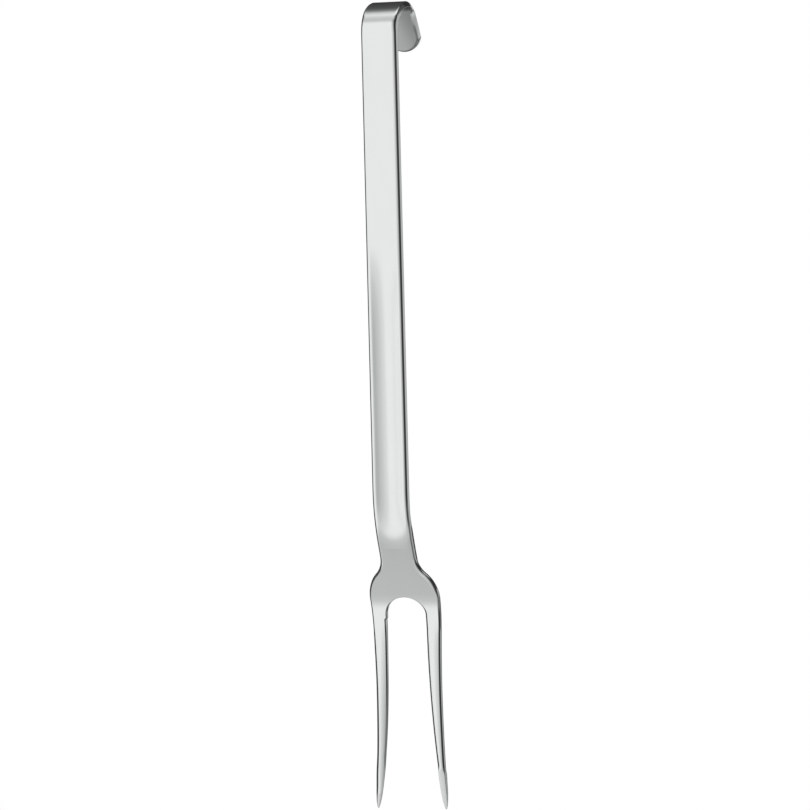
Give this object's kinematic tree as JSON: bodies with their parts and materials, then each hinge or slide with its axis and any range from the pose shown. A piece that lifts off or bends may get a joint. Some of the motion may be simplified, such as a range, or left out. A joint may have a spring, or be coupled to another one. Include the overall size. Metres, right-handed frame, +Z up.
{
  "type": "flesh fork",
  "caption": "Long-handled meat fork in bare steel: strip handle with a pressed trough and a hanging hook, a cranked neck and slim pointed tines for holding and lifting meat.",
  "frame": {"origin": "middle of the hook's rail seat, on the underside of the hook's top", "axes": "+Z up along the hanging handle, -Y the front that carries the trough, +Y the way the hook bends back, +X across the strip"},
  "size_m": [0.0458, 0.0271, 0.4308],
  "materials": {
    "handle_steel": "satin stainless steel, finely brushed along the strip",
    "head_steel": "stainless steel, satin on the neck and brighter on the tines",
    "weld_steel": "weld metal ground flush and blended with the strip"
  },
  "bodies": {
    "root": {"handle": "handle_steel", "fork_head": "head_steel", "neck_weld": "weld_steel"}
  },
  "joints": []
}
